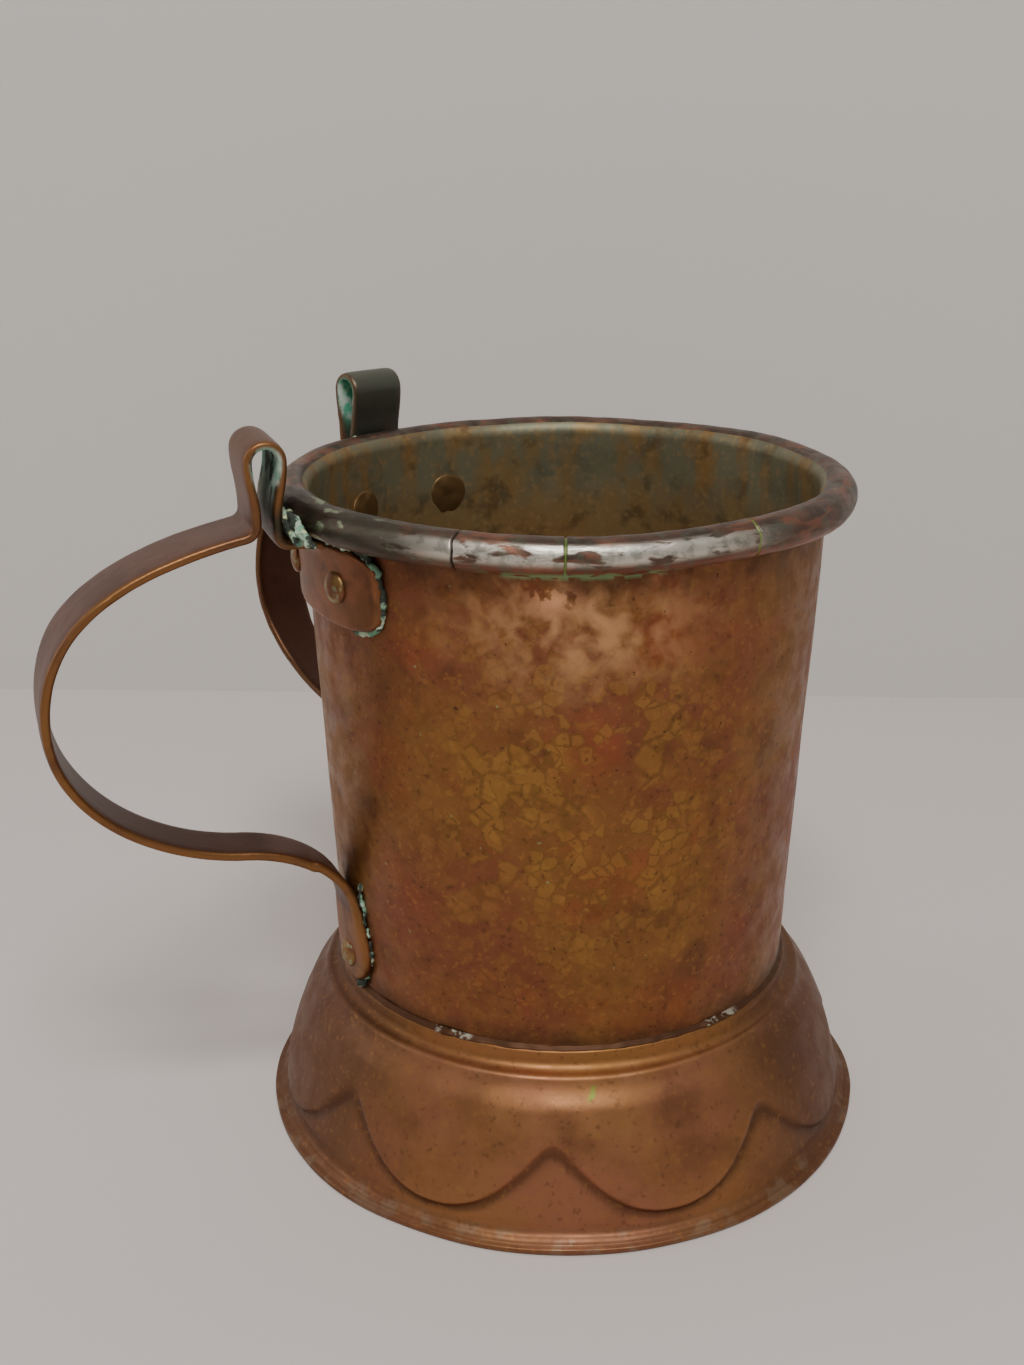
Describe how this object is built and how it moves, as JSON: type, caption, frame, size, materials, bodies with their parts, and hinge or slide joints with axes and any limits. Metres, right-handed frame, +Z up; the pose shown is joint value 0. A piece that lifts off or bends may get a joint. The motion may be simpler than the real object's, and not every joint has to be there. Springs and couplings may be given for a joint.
{
  "type": "washing cup",
  "caption": "Tall copper washing cup with a rolled rim, a flared hollow foot, and riveted strap handles with pinched thumb loops.",
  "frame": {"origin": "centre of the ring that the foot stands on, on the cup's axis", "axes": "+Z up along the cup's axis, -X towards the front handle, the rear handle turned 67 degrees from it towards +Y"},
  "size_m": [0.1772, 0.1678, 0.1574],
  "materials": {
    "copper_wall": "mottled brown-red patina, satin",
    "copper_foot": "smooth brown patina, satin",
    "copper_strap": "brown patina with bright worn edges",
    "wire": "dull",
    "tinned_floor": "dark, worn",
    "tin_solder": "dull tin solder",
    "verdigris": "pale green crust over solder",
    "rivets": "hammered"
  },
  "bodies": {
    "root": {"body_wall": "copper_wall", "rim_wire": "wire", "cup_floor": "tinned_floor", "foot": "copper_foot", "foot_seam": "tin_solder", "front_handle": "copper_strap", "rear_handle": "copper_strap", "front_solder": "verdigris", "rear_solder": "verdigris", "front_rivet_upper_1": "rivets", "front_rivet_upper_2": "rivets", "front_rivet_lower": "rivets", "rear_rivet_upper_1": "rivets", "rear_rivet_upper_2": "rivets", "rear_rivet_lower": "rivets"}
  },
  "joints": []
}
